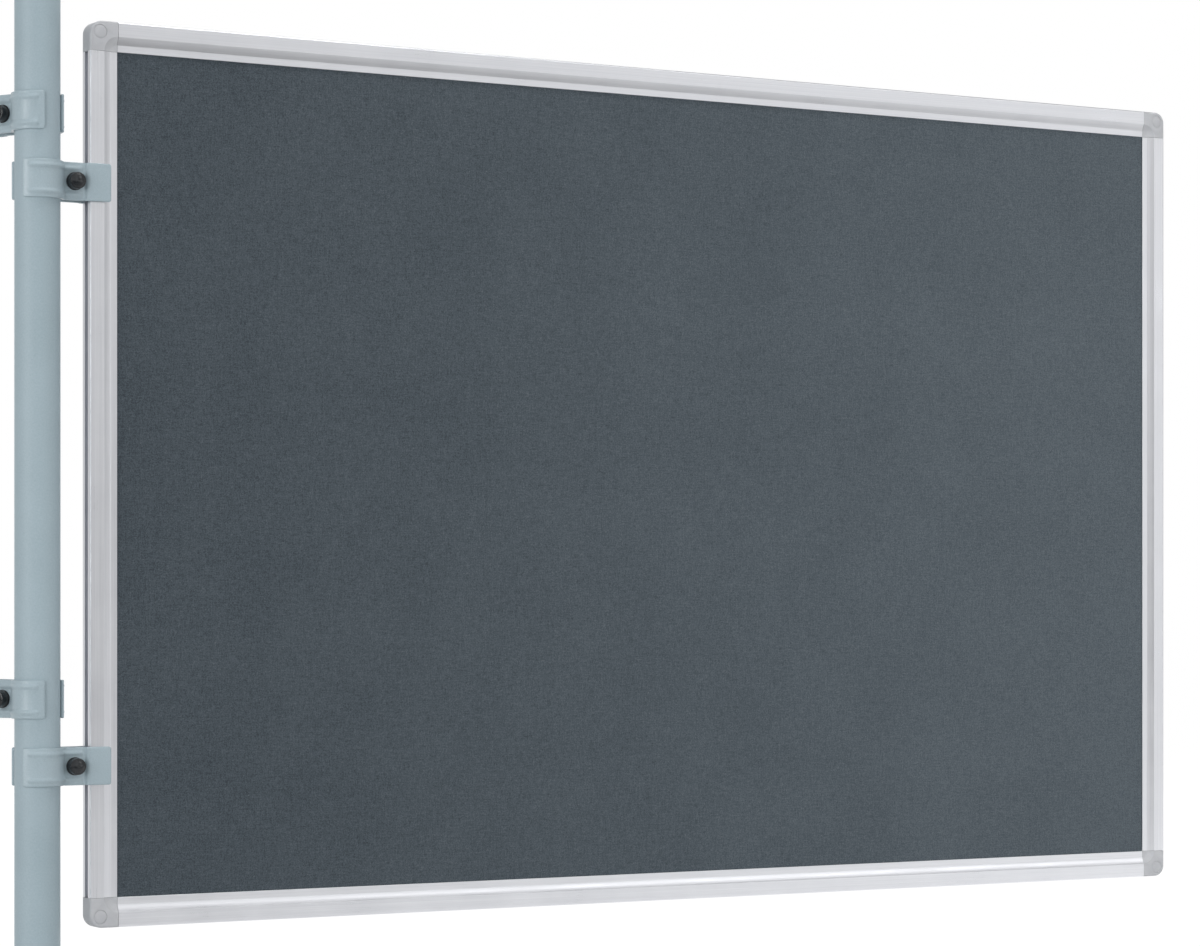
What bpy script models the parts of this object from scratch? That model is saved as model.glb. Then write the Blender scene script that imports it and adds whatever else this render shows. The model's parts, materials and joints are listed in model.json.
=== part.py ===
"""Presentation board held on a round pole by pressed-steel clamps.

Metres, +Z up. The pole's axis is the Z axis and its lower end is at z = 0. The board stands along +X and its
front faces -Y. Two clamps hold the board, and two more, a little higher, point the other way for a
neighbouring board.
"""

import math

import bmesh
import bpy
from mathutils import Matrix, Vector

# Clearances
GAP = 0.0003
HOLE_CLEARANCE = 0.0003
CUT_OVERRUN = 0.002

# Board and its place on the pole
BOARD_WIDTH = 1.500
BOARD_HEIGHT = 1.000
FRAME_DEPTH = 0.024
POLE_BELOW_BOARD = 0.070
POLE_ABOVE_BOARD = 0.080

# Extruded frame profile, seen end on
PROFILE_FACE = 0.033
OUTER_FLAT = 0.0165
COVE_WIDTH = 0.009
COVE_CURVE = math.radians(9)
EDGE_RADIUS = 0.002
LIP_THICKNESS = 0.0012
PANEL_BITE = 0.0145
GROOVE_WIDTH = 0.009
GROOVE_DEPTH = 0.005
PROFILE_WALL = 0.0016

# Panel in the frame
CORE_THICKNESS = 0.0094
FELT_THICKNESS = 0.002

# Moulded corner caps and their plugs
CORNER_RADIUS = 0.014
LEG_LENGTH = 0.030
LEG_ROOT = 0.021
LEG_TAPER = 0.0015
PLUG_DIAMETER = 0.015
PLUG_INSET = 0.012
PLUG_DEPTH = 0.003
PLUG_CROWN = 0.0005
PLUG_EDGE = 0.0004

# Pole
POLE_DIAMETER = 0.050
POLE_WALL = 0.002
POLE_CAP_HEAD = 0.003
POLE_CAP_CROWN = 0.0012
POLE_CAP_EDGE = 0.001
POLE_CAP_SPIGOT = 0.022
POLE_CAP_SKIN = 0.0025

# Pressed clamp jaw
JAW_STEEL = 0.0035
JAW_HEIGHT = 0.042
WRAP_ANGLE = math.radians(146)
ROOT_RADIUS = 0.00475
NECK_HALF_GAP = 0.008
NECK_MARGIN = 0.0006
STEP_RADIUS = 0.004
STEP_TO_BOARD = 0.0004
GRIP_LENGTH = 0.0237
FREE_END_CORNER = 0.003
GRIP_CORNER = 0.0025
BEAD_FROM_EDGE = 0.0028
BEAD_WIDTH = 0.008
BEAD_TOP = 0.003
BEAD_HEIGHT = 0.0014
BEAD_START = 0.0055
BEAD_RUN_OUT = 0.004

# Clamp screw, its cap, washer and nut
SCREW_DIAMETER = 0.008
HEX_WIDTH = 0.013
HEX_HEIGHT = 0.0053
NUT_HEIGHT = 0.0065
SCREW_PAST_NUT = 0.0025
WASHER_DIAMETER = 0.020
WASHER_THICKNESS = 0.0016
CAP_DIAMETER = 0.019
CAP_HEIGHT = 0.0110
CAP_CROWN = 0.0022
CAP_EDGE = 0.0016

# Places of the clamps
CLAMP_INSET = 0.179
NEIGHBOUR_RISE = 0.074
NEIGHBOUR_ANGLE = math.radians(120)

# Facets
POLE_SEGMENTS = 48
HOLE_SEGMENTS = 16
SCREW_SEGMENTS = 18
CAP_SEGMENTS = 24
PLUG_SEGMENTS = 20
DOME_SHARES = (0, 1 / 3, 2 / 3)
CORNER_STEPS = 7
COVE_STEPS = 4
COVE_TURN_SEGMENTS = 40
EDGE_STEPS = 3
SADDLE_STEP_ANGLE = math.radians(15)
BEND_STEPS = 3
SMOOTH_ANGLE = math.radians(35)

# Sizes that follow from the ones above
HALF_DEPTH = FRAME_DEPTH / 2
SLOT_HALF = CORE_THICKNESS / 2 + GAP + FELT_THICKNESS + GAP
LIP_LEVEL = SLOT_HALF + LIP_THICKNESS
COVE_END = OUTER_FLAT + COVE_WIDTH
COVE_DROP = HALF_DEPTH - LIP_LEVEL
COVE_SLOPE = math.atan2(COVE_DROP, COVE_WIDTH)
COVE_RADIUS = math.hypot(COVE_WIDTH, COVE_DROP) / (2 * math.sin(COVE_CURVE))
SLOT_BOTTOM = PROFILE_FACE - PANEL_BITE
PANEL_WIDTH = BOARD_WIDTH - 2 * (SLOT_BOTTOM + GAP)
PANEL_HEIGHT = BOARD_HEIGHT - 2 * (SLOT_BOTTOM + GAP)
POLE_LENGTH = POLE_BELOW_BOARD + BOARD_HEIGHT + POLE_ABOVE_BOARD
BOARD_MIDDLE = POLE_BELOW_BOARD + BOARD_HEIGHT / 2

SADDLE_RADIUS = POLE_DIAMETER / 2 + GAP + JAW_STEEL / 2
NECK_LEVEL = NECK_HALF_GAP + JAW_STEEL / 2
GRIP_LEVEL = HALF_DEPTH + GAP + JAW_STEEL / 2
ROOT_HEIGHT = NECK_LEVEL + ROOT_RADIUS
NECK_START = math.sqrt((SADDLE_RADIUS + ROOT_RADIUS) ** 2 - ROOT_HEIGHT ** 2)
ROOT_ANGLE = math.atan2(ROOT_HEIGHT, NECK_START)
NECK_END = NECK_START + WASHER_DIAMETER + 2 * NECK_MARGIN
SCREW_REACH = (NECK_START + NECK_END) / 2
STEP_ANGLE = math.acos(1 - (GRIP_LEVEL - NECK_LEVEL) / (2 * STEP_RADIUS))
GRIP_START = NECK_END + 2 * STEP_RADIUS * math.sin(STEP_ANGLE)
GRIP_END = GRIP_START + GRIP_LENGTH
BOARD_OFFSET = GRIP_START + STEP_TO_BOARD
NECK_FACE = NECK_HALF_GAP + JAW_STEEL
WASHER_SEAT = NECK_FACE + GAP
HEAD_SEAT = WASHER_SEAT + WASHER_THICKNESS + GAP
NUT_SEAT = NECK_FACE + GAP

CORNERS = (
    ("bottom_left", 0, 0, Matrix()),
    ("bottom_right", 1, 0, Matrix.Rotation(math.pi, 4, "Z")),
    ("top_right", 1, 1, Matrix.Rotation(math.pi, 4, "Y")),
    ("top_left", 0, 1, Matrix.Rotation(math.pi, 4, "X")),
)


def clear_scene():
    for obj in list(bpy.data.objects):
        bpy.data.objects.remove(obj, do_unlink=True)


def material(name, colour, roughness, metallic):
    mat = bpy.data.materials.new(name)
    mat.use_nodes = True
    shader = mat.node_tree.nodes["Principled BSDF"]
    shader.inputs["Base Color"].default_value = (*colour, 1)
    shader.inputs["Roughness"].default_value = roughness
    shader.inputs["Metallic"].default_value = metallic
    mat.diffuse_color = (*colour, 1)
    return mat


def make_materials():
    return {
        "coated_steel": material("coated_steel", (0.34, 0.42, 0.45), 0.45, 0.0),
        "anodised": material("anodised", (0.72, 0.73, 0.76), 0.38, 1.0),
        "felt": material("felt", (0.075, 0.092, 0.108), 0.95, 0.0),
        "fibreboard": material("fibreboard", (0.42, 0.30, 0.18), 0.85, 0.0),
        "corner_plastic": material("corner_plastic", (0.52, 0.53, 0.54), 0.5, 0.0),
        "black_plastic": material("black_plastic", (0.02, 0.022, 0.025), 0.35, 0.0),
        "zinc_plate": material("zinc_plate", (0.62, 0.63, 0.64), 0.35, 1.0),
        "black_steel": material("black_steel", (0.03, 0.03, 0.032), 0.4, 1.0),
    }


def finish_mesh(name, bm):
    bmesh.ops.recalc_face_normals(bm, faces=bm.faces)
    mesh = bpy.data.meshes.new(name)
    bm.to_mesh(mesh)
    bm.free()
    mesh.shade_smooth()
    mesh.set_sharp_from_angle(angle=SMOOTH_ANGLE)
    return mesh


def add_object(name, mesh, mat=None, parent=None, matrix=None):
    obj = bpy.data.objects.new(name, mesh)
    bpy.context.scene.collection.objects.link(obj)
    if mat:
        obj.data.materials.clear()
        obj.data.materials.append(mat)
    if parent:
        obj.parent = parent
    if matrix:
        obj.matrix_local = matrix
    return obj


def add_empty(name, location, matrix=None):
    empty = bpy.data.objects.new(name, None)
    bpy.context.scene.collection.objects.link(empty)
    empty.matrix_local = Matrix.Translation(location) @ (matrix or Matrix())
    return empty


def arc(centre, radius, start, end, steps):
    """Points on an arc in a plane, both ends included."""
    points = []
    for i in range(steps + 1):
        angle = start + (end - start) * i / steps
        points.append((centre[0] + radius * math.cos(angle), centre[1] + radius * math.sin(angle)))
    return points


def circle(radius, count):
    angles = [math.tau * i / count for i in range(count)]
    return [(radius * math.cos(angle), radius * math.sin(angle)) for angle in angles]


def hexagon(width, count):
    """Points on a hexagon's outline at even angles, its six corners among them."""
    points = []
    for i in range(count):
        angle = math.tau * i / count
        off_middle = angle % (math.tau / 6) - math.tau / 12
        reach = width / 2 / math.cos(off_middle)
        points.append((reach * math.cos(angle), reach * math.sin(angle)))
    return points


def dome(radius, rim_height, crown):
    """Points (radius, height) on a shallow dome, from its top on the axis outwards, short of its rim."""
    return [(share * radius, rim_height + crown * (1 - share ** 2)) for share in DOME_SHARES]


def bridge(bm, ring_a, ring_b):
    count = len(ring_a)
    for i in range(count):
        j = (i + 1) % count
        bm.faces.new((ring_a[i], ring_a[j], ring_b[j], ring_b[i]))


def stacked(name, layers, closed=False):
    """A body through outlines of equal point counts, each with its height: capped, or closed on itself."""
    bm = bmesh.new()
    rings = [[bm.verts.new((x, y, z)) for x, y in outline] for outline, z in layers]
    for ring_a, ring_b in zip(rings, rings[1:]):
        bridge(bm, ring_a, ring_b)
    if closed:
        bridge(bm, rings[-1], rings[0])
    else:
        bm.faces.new(rings[0])
        bm.faces.new(rings[-1])
    return finish_mesh(name, bm)


def turned(name, profile, segments, closed=False):
    """A turned body from (radius, height) points; open profiles start and end on the axis."""
    if closed:
        return stacked(name, [(circle(r, segments), z) for r, z in profile], closed=True)
    bm = bmesh.new()
    rings = [[bm.verts.new((x, y, z)) for x, y in circle(r, segments)] for r, z in profile[1:-1]]
    for ring_a, ring_b in zip(rings, rings[1:]):
        bridge(bm, ring_a, ring_b)
    for tip, ring in ((profile[0], rings[0]), (profile[-1], rings[-1])):
        point = bm.verts.new((0, 0, tip[1]))
        for i in range(segments):
            bm.faces.new((point, ring[i], ring[(i + 1) % segments]))
    return finish_mesh(name, bm)


def extruded(name, outline, hole, length):
    """A straight length of a hollow section, centred on z = 0."""
    bm = bmesh.new()
    edges = []
    for loop in (outline, hole):
        verts = [bm.verts.new((x, y, -length / 2)) for x, y in loop]
        edges += [bm.edges.new((verts[i - 1], verts[i])) for i in range(len(verts))]
    cap = bmesh.ops.triangle_fill(bm, use_beauty=True, use_dissolve=False, edges=edges)
    faces = [item for item in cap["geom"] if isinstance(item, bmesh.types.BMFace)]
    swept = bmesh.ops.extrude_face_region(bm, geom=faces, use_keep_orig=True)
    moved = [item for item in swept["geom"] if isinstance(item, bmesh.types.BMVert)]
    bmesh.ops.translate(bm, verts=moved, vec=(0, 0, length))
    return finish_mesh(name, bm)


def slab(name, low, high):
    bm = bmesh.new()
    bmesh.ops.create_cube(bm, size=1)
    size = Vector(high) - Vector(low)
    middle = (Vector(high) + Vector(low)) / 2
    bmesh.ops.transform(bm, matrix=Matrix.Translation(middle) @ Matrix.Diagonal((*size, 1)), verts=bm.verts)
    return finish_mesh(name, bm)


def carved(name, mesh, steps):
    """The mesh after a chain of Boolean steps, each a (mesh, operation, place)."""
    body = add_object(name, mesh)
    tools = []
    for i, (tool_mesh, operation, place) in enumerate(steps):
        tool = add_object(f"{name}_tool_{i}", tool_mesh, matrix=place)
        tool.hide_render = True
        tool.display_type = "WIRE"
        step = body.modifiers.new(f"step_{i}", "BOOLEAN")
        step.operation = operation
        step.solver = "EXACT"
        step.object = tool
        tools.append(tool)
    bpy.context.view_layer.update()
    result = bpy.data.meshes.new_from_object(body.evaluated_get(bpy.context.evaluated_depsgraph_get()))
    result.name = name
    for obj in [body, *tools]:
        bpy.data.objects.remove(obj, do_unlink=True)
    result.shade_smooth()
    result.set_sharp_from_angle(angle=SMOOTH_ANGLE)
    return result


def cove_points():
    """The cove in (distance from the outer edge, depth), from the outer flat down to the lip."""
    last = -math.pi / 2 - COVE_SLOPE + COVE_CURVE
    centre = (COVE_END - COVE_RADIUS * math.cos(last), LIP_LEVEL - COVE_RADIUS * math.sin(last))
    return arc(centre, COVE_RADIUS, last - 2 * COVE_CURVE, last, COVE_STEPS)


def profile_outline():
    """The section's outside: x from the board's outer edge inwards, y through its depth."""
    half = [(GROOVE_DEPTH, GROOVE_WIDTH / 2), (0, GROOVE_WIDTH / 2)]
    half += arc((EDGE_RADIUS, HALF_DEPTH - EDGE_RADIUS), EDGE_RADIUS, math.pi, math.pi / 2, EDGE_STEPS)
    half += cove_points()
    half += [(PROFILE_FACE, LIP_LEVEL), (PROFILE_FACE, SLOT_HALF), (SLOT_BOTTOM, SLOT_HALF)]
    return half + [(x, -y) for x, y in reversed(half)]


def profile_chamber():
    """The hollow behind the groove, where the corner caps' legs sit."""
    half = [
        (GROOVE_DEPTH + PROFILE_WALL, GROOVE_WIDTH / 2 + PROFILE_WALL),
        (PROFILE_WALL, GROOVE_WIDTH / 2 + PROFILE_WALL),
        (PROFILE_WALL, HALF_DEPTH - PROFILE_WALL),
        (SLOT_BOTTOM - PROFILE_WALL, HALF_DEPTH - PROFILE_WALL),
    ]
    return half + [(x, -y) for x, y in reversed(half)]


def add_frame(board, mats):
    """Four lengths of profile between the corner caps."""
    ends = 2 * (PROFILE_FACE + GAP)
    upright = extruded("frame_upright", profile_outline(), profile_chamber(), BOARD_HEIGHT - ends)
    rail = extruded("frame_rail", profile_outline(), profile_chamber(), BOARD_WIDTH - ends)
    middle = BOARD_OFFSET + BOARD_WIDTH / 2
    low = BOARD_MIDDLE - BOARD_HEIGHT / 2
    high = BOARD_MIDDLE + BOARD_HEIGHT / 2
    right = BOARD_OFFSET + BOARD_WIDTH
    places = (
        ("frame_left", upright, (BOARD_OFFSET, 0, BOARD_MIDDLE), Matrix()),
        ("frame_right", upright, (right, 0, BOARD_MIDDLE), Matrix.Rotation(math.pi, 4, "Z")),
        ("frame_bottom", rail, (middle, 0, low), Matrix.Rotation(-math.pi / 2, 4, "Y")),
        ("frame_top", rail, (middle, 0, high), Matrix.Rotation(math.pi / 2, 4, "Y")),
    )
    for name, mesh, spot, turn in places:
        add_object(name, mesh, mats["anodised"], board, Matrix.Translation(spot) @ turn)


def add_panel(board, mats):
    """The fibreboard core and a felt on each face, let into the frame's slot."""
    left = BOARD_OFFSET + SLOT_BOTTOM + GAP
    low = BOARD_MIDDLE - PANEL_HEIGHT / 2
    felt_near = CORE_THICKNESS / 2 + GAP
    layers = (
        ("board_core", -CORE_THICKNESS / 2, CORE_THICKNESS / 2, "fibreboard"),
        ("front_felt", -felt_near - FELT_THICKNESS, -felt_near, "felt"),
        ("back_felt", felt_near, felt_near + FELT_THICKNESS, "felt"),
    )
    for name, near, far, finish in layers:
        mesh = slab(name, (left, near, low), (left + PANEL_WIDTH, far, low + PANEL_HEIGHT))
        add_object(name, mesh, mats[finish], board)


def corner_outline(inset):
    """A corner cap seen from the front, its outer corner at the origin, drawn in on its two outer sides."""
    rounded = arc((CORNER_RADIUS, CORNER_RADIUS), CORNER_RADIUS - inset, -math.pi / 2, -math.pi, CORNER_STEPS)
    return [(PROFILE_FACE, PROFILE_FACE), (PROFILE_FACE, inset)] + rounded + [(inset, PROFILE_FACE)]


def corner_blank():
    """The cap's block: outer edges rounded as on the profile, depth along z."""
    rounding = arc((EDGE_RADIUS, HALF_DEPTH - EDGE_RADIUS), EDGE_RADIUS, math.pi, math.pi / 2, EDGE_STEPS)
    layers = [(corner_outline(inset), depth) for inset, depth in rounding]
    back = [(outline, -depth) for outline, depth in reversed(layers)]
    return stacked("corner_blank", back + layers)


def cove_cutter():
    """What the cove leaves out where it turns round the cap's inner corner, depth along z."""
    cove = [(PROFILE_FACE - x, y) for x, y in cove_points()]
    outer_x, outer_y = cove[0]
    next_x, next_y = cove[1]
    slope = (outer_x - next_x) / (outer_y - next_y)
    rim = (outer_x + slope * CUT_OVERRUN, outer_y + CUT_OVERRUN)
    top = (0, outer_y + CUT_OVERRUN)
    return turned("cove_cutter", [top, rim] + cove + [(0, LIP_LEVEL)], COVE_TURN_SEGMENTS)


def leg(reach_x):
    """One leg of a corner cap, tapered at its tip, in the profile's chamber beside it."""
    near = GROOVE_DEPTH + PROFILE_WALL + GAP
    far = SLOT_BOTTOM - PROFILE_WALL - GAP
    half = HALF_DEPTH - PROFILE_WALL - GAP
    tip = PROFILE_FACE + LEG_LENGTH

    def section(taper):
        sides = ((near + taper, -half + taper), (far - taper, -half + taper))
        return list(sides) + [(x, -y) for x, y in reversed(sides)]

    layers = [
        (section(0), PROFILE_FACE - LEG_ROOT),
        (section(0), tip - 2 * LEG_TAPER),
        (section(LEG_TAPER), tip),
    ]
    mesh = stacked("leg", layers)
    along_x = Matrix(((0, 0, 1, 0), (1, 0, 0, 0), (0, 1, 0, 0), (0, 0, 0, 1)))
    along_y = Matrix(((1, 0, 0, 0), (0, 0, -1, 0), (0, 1, 0, 0), (0, 0, 0, 1)))
    if reach_x:
        return mesh, along_x
    return mesh, Matrix.Diagonal((1, -1, 1, 1)) @ along_y


def corner_mesh():
    """Cap, panel slot, coves, plug seats and legs, with the depth along z."""
    slot = slab(
        "panel_slot",
        (SLOT_BOTTOM, SLOT_BOTTOM, -SLOT_HALF),
        (PROFILE_FACE + CUT_OVERRUN, PROFILE_FACE + CUT_OVERRUN, SLOT_HALF),
    )
    cove = cove_cutter()
    inner_corner = Matrix.Translation((PROFILE_FACE, PROFILE_FACE, 0))
    seat = circle(PLUG_DIAMETER / 2 + GAP, PLUG_SEGMENTS)
    seat_mesh = stacked("plug_seat", [(seat, HALF_DEPTH - PLUG_DEPTH), (seat, HALF_DEPTH + CUT_OVERRUN)])
    plug_place = Matrix.Translation((PLUG_INSET, PLUG_INSET, 0))
    turn_over = Matrix.Rotation(math.pi, 4, "X")
    steps = []
    for reach_x in (True, False):
        leg_mesh, place = leg(reach_x)
        steps.append((leg_mesh, "UNION", place))
    steps += [
        (slot, "DIFFERENCE", None),
        (cove, "DIFFERENCE", inner_corner),
        (cove, "DIFFERENCE", inner_corner @ turn_over),
        (seat_mesh, "DIFFERENCE", plug_place),
        (seat_mesh, "DIFFERENCE", plug_place @ turn_over),
    ]
    return carved("corner_cap", corner_blank(), steps)


def plug_mesh():
    """A round plug for the corner cap's seat, its face towards +z and its foot at z = 0."""
    radius = PLUG_DIAMETER / 2
    face = PLUG_DEPTH - GAP
    profile = dome(radius - PLUG_EDGE, face, PLUG_CROWN)
    profile += [(radius - PLUG_EDGE, face), (radius, face - PLUG_EDGE), (radius, 0), (0, 0)]
    return turned("plug", profile, PLUG_SEGMENTS)


def add_corners(board, mats):
    """Four corner caps with a plug in each face."""
    cap = corner_mesh()
    plug = plug_mesh()
    stand = Matrix(((1, 0, 0, 0), (0, 0, -1, 0), (0, 1, 0, 0), (0, 0, 0, 1)))
    for name, right, up, turn in CORNERS:
        spot = (BOARD_OFFSET + right * BOARD_WIDTH, 0, BOARD_MIDDLE + (up * 2 - 1) * BOARD_HEIGHT / 2)
        place = Matrix.Translation(spot) @ turn @ stand
        add_object(f"corner_{name}", cap, mats["corner_plastic"], board, place)
        for side in (1, -1):
            seat = Matrix.Translation((PLUG_INSET, PLUG_INSET, side * (HALF_DEPTH - PLUG_DEPTH + GAP)))
            if side < 0:
                seat = seat @ Matrix.Rotation(math.pi, 4, "X")
            plug_place = place @ seat
            face = "front" if (plug_place.to_3x3() @ Vector((0, 0, 1))).y < 0 else "back"
            add_object(f"plug_{face}_{name}", plug, mats["corner_plastic"], board, plug_place)


def add_pole(mats):
    """The tube, open at its lower end, and the cap in its upper end."""
    outer = POLE_DIAMETER / 2
    inner = outer - POLE_WALL
    wall = [(outer, 0), (outer, POLE_LENGTH), (inner, POLE_LENGTH), (inner, 0)]
    add_object("pole", turned("pole", wall, POLE_SEGMENTS, closed=True), mats["coated_steel"])
    seat = POLE_LENGTH + GAP
    spigot = inner - GAP
    rim = seat + POLE_CAP_HEAD - POLE_CAP_CROWN
    profile = dome(outer - POLE_CAP_EDGE, rim, POLE_CAP_CROWN)
    profile += [
        (outer - POLE_CAP_EDGE, rim),
        (outer, rim - POLE_CAP_EDGE),
        (outer, seat),
        (spigot, seat),
        (spigot, seat - POLE_CAP_SPIGOT),
        (spigot - POLE_CAP_SKIN, seat - POLE_CAP_SPIGOT),
        (spigot - POLE_CAP_SKIN, seat - GAP),
        (0, seat - GAP),
    ]
    add_object("pole_top_cap", turned("pole_top_cap", profile, POLE_SEGMENTS), mats["black_plastic"])


def jaw_stations():
    """The strip's path in plan, from its free end on the pole to the end of the grip.

    Each station is (point, outward normal, half height, bead share or None). The path is the middle of the
    steel, x runs from the pole to the board and y away from the clamp's middle plane.
    """
    half = JAW_HEIGHT / 2
    stations = []

    def on_saddle(angle, height=half, bead=None):
        out = (math.cos(angle), math.sin(angle))
        stations.append(((SADDLE_RADIUS * out[0], SADDLE_RADIUS * out[1]), out, height, bead))

    for turn in (0, math.pi / 4, math.pi / 2):
        along = FREE_END_CORNER * (1 - math.cos(turn))
        height = half - FREE_END_CORNER * (1 - math.sin(turn))
        on_saddle(WRAP_ANGLE - along / SADDLE_RADIUS, height)
    bead_from = WRAP_ANGLE - BEAD_START / SADDLE_RADIUS
    bead_full = bead_from - BEAD_RUN_OUT / SADDLE_RADIUS
    on_saddle(bead_from, bead=0)
    steps = math.ceil((bead_full - ROOT_ANGLE) / SADDLE_STEP_ANGLE)
    for i in range(steps + 1):
        on_saddle(bead_full + (ROOT_ANGLE - bead_full) * i / steps, bead=1)
    for i in range(1, BEND_STEPS + 1):
        angle = ROOT_ANGLE + math.pi + (math.pi / 2 - ROOT_ANGLE) * i / BEND_STEPS
        spot = (NECK_START + ROOT_RADIUS * math.cos(angle), ROOT_HEIGHT + ROOT_RADIUS * math.sin(angle))
        stations.append((spot, (-math.cos(angle), -math.sin(angle)), half, 1))
    stations.append(((NECK_END - BEAD_RUN_OUT, NECK_LEVEL), (0, 1), half, 1))
    stations.append(((NECK_END, NECK_LEVEL), (0, 1), half, 0))
    for i in range(1, BEND_STEPS + 1):
        angle = STEP_ANGLE * i / BEND_STEPS
        spot = (NECK_END + STEP_RADIUS * math.sin(angle), NECK_LEVEL + STEP_RADIUS * (1 - math.cos(angle)))
        stations.append((spot, (-math.sin(angle), math.cos(angle)), half, None))
    for i in range(1, BEND_STEPS + 1):
        angle = STEP_ANGLE * (1 - i / BEND_STEPS)
        spot = (GRIP_START - STEP_RADIUS * math.sin(angle), GRIP_LEVEL - STEP_RADIUS * (1 - math.cos(angle)))
        stations.append((spot, (-math.sin(angle), math.cos(angle)), half, None))
    for turn in (math.pi / 2, math.pi / 4, 0):
        along = GRIP_END - GRIP_CORNER * (1 - math.cos(turn))
        height = half - GRIP_CORNER * (1 - math.sin(turn))
        stations.append(((along, GRIP_LEVEL), (0, 1), height, None))
    return stations


def jaw_columns(height, bead):
    """Heights across the strip and how far the pressed bead stands out at each."""
    if bead is None:
        return [(-height, 0), (height, 0)]
    outer = height - BEAD_FROM_EDGE
    inner = outer - BEAD_WIDTH
    slope = (BEAD_WIDTH - BEAD_TOP) / 2
    rise = bead * BEAD_HEIGHT
    upper = [(inner, 0), (inner + slope, rise), (outer - slope, rise), (outer, 0), (height, 0)]
    return [(-z, out) for z, out in reversed(upper)] + upper


def jaw_mesh():
    """The pressed jaw: saddle, neck, step and grip with two stiffening beads, and the screw's hole."""
    bm = bmesh.new()
    skins = []
    for side in (-1, 1):
        rows = []
        for (x, y), (out_x, out_y), height, bead in jaw_stations():
            row = []
            for z, rise in jaw_columns(height, bead):
                off = side * JAW_STEEL / 2 + rise
                row.append(bm.verts.new((x + out_x * off, y + out_y * off, z)))
            rows.append(row)
        for row_a, row_b in zip(rows, rows[1:]):
            if len(row_a) == len(row_b):
                for i in range(len(row_a) - 1):
                    bm.faces.new((row_a[i], row_a[i + 1], row_b[i + 1], row_b[i]))
            else:
                bm.faces.new(row_a + list(reversed(row_b)))
        skins.append(rows)
    inner, outer = skins
    for k in range(len(inner) - 1):
        for end in (0, -1):
            bm.faces.new((inner[k][end], inner[k + 1][end], outer[k + 1][end], outer[k][end]))
    for end in (0, -1):
        bm.faces.new(inner[end] + list(reversed(outer[end])))
    blank = finish_mesh("jaw_blank", bm)
    hole = circle(SCREW_DIAMETER / 2 + HOLE_CLEARANCE, HOLE_SEGMENTS)
    drill = stacked("drill", [(hole, 0), (hole, NECK_FACE + CUT_OVERRUN)])
    place = Matrix.Translation((SCREW_REACH, 0, 0)) @ Matrix.Rotation(-math.pi / 2, 4, "X")
    return carved("jaw", blank, [(drill, "DIFFERENCE", place)])


def screw_mesh():
    """The hexagon-headed screw: its seat at z = 0, its head towards +z."""
    hexagon_ring = hexagon(HEX_WIDTH, SCREW_SEGMENTS)
    shank = circle(SCREW_DIAMETER / 2, SCREW_SEGMENTS)
    length = HEAD_SEAT + NUT_SEAT + NUT_HEIGHT + SCREW_PAST_NUT
    return stacked("screw", [(hexagon_ring, HEX_HEIGHT), (hexagon_ring, 0), (shank, 0), (shank, -length)])


def screw_cap_mesh():
    """The domed cap that covers the screw's head, its rim at z = 0."""
    outer = CAP_DIAMETER / 2
    pocket = HEX_WIDTH / math.sqrt(3) + GAP
    ceiling = HEX_HEIGHT + GAP
    shoulder = CAP_HEIGHT - CAP_CROWN
    profile = dome(outer - CAP_EDGE / 2, shoulder, CAP_CROWN)
    profile += [
        (outer - CAP_EDGE / 2, shoulder),
        (outer, shoulder - CAP_EDGE),
        (outer, 0),
        (pocket, 0),
        (pocket, ceiling),
        (0, ceiling),
    ]
    return turned("screw_cap", profile, CAP_SEGMENTS)


def washer_mesh():
    outer = WASHER_DIAMETER / 2
    bore = SCREW_DIAMETER / 2 + HOLE_CLEARANCE
    profile = [(outer, 0), (outer, WASHER_THICKNESS), (bore, WASHER_THICKNESS), (bore, 0)]
    return turned("washer", profile, CAP_SEGMENTS, closed=True)


def nut_mesh():
    outer = hexagon(HEX_WIDTH, SCREW_SEGMENTS)
    bore = circle(SCREW_DIAMETER / 2 + HOLE_CLEARANCE, SCREW_SEGMENTS)
    return stacked("nut", [(outer, 0), (outer, NUT_HEIGHT), (bore, NUT_HEIGHT), (bore, 0)], closed=True)


def add_clamps(board, mats):
    """Two clamps on the board and two above them for the neighbouring board."""
    jaw = jaw_mesh()
    low = BOARD_MIDDLE - BOARD_HEIGHT / 2 + CLAMP_INSET
    high = BOARD_MIDDLE + BOARD_HEIGHT / 2 - CLAMP_INSET
    turn_over = Matrix.Rotation(math.pi, 4, "X")
    screw_axis = Matrix.Translation((SCREW_REACH, 0, 0))
    to_front = screw_axis @ Matrix.Rotation(math.pi / 2, 4, "X")
    to_back = screw_axis @ Matrix.Rotation(-math.pi / 2, 4, "X")
    at_head = to_front @ Matrix.Translation((0, 0, HEAD_SEAT))
    pieces = (
        ("back_jaw", jaw, "coated_steel", Matrix()),
        ("front_jaw", jaw, "coated_steel", turn_over),
        ("washer", washer_mesh(), "black_steel", to_front @ Matrix.Translation((0, 0, WASHER_SEAT))),
        ("screw", screw_mesh(), "zinc_plate", at_head),
        ("screw_cap", screw_cap_mesh(), "black_plastic", at_head),
        ("nut", nut_mesh(), "zinc_plate", to_back @ Matrix.Translation((0, 0, NUT_SEAT))),
    )
    to_neighbour = Matrix.Rotation(NEIGHBOUR_ANGLE, 4, "Z") @ turn_over
    clamps = (
        ("right_lower", low, Matrix(), board),
        ("right_upper", high, Matrix(), board),
        ("left_lower", low + NEIGHBOUR_RISE, to_neighbour, None),
        ("left_upper", high + NEIGHBOUR_RISE, to_neighbour, None),
    )
    for name, height, turn, carrier in clamps:
        clamp = add_empty(f"{name}_clamp", (0, 0, height), turn)
        clamp.parent = carrier
        for piece, mesh, finish, place in pieces:
            add_object(f"{name}_{piece}", mesh, mats[finish], clamp, place)


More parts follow.
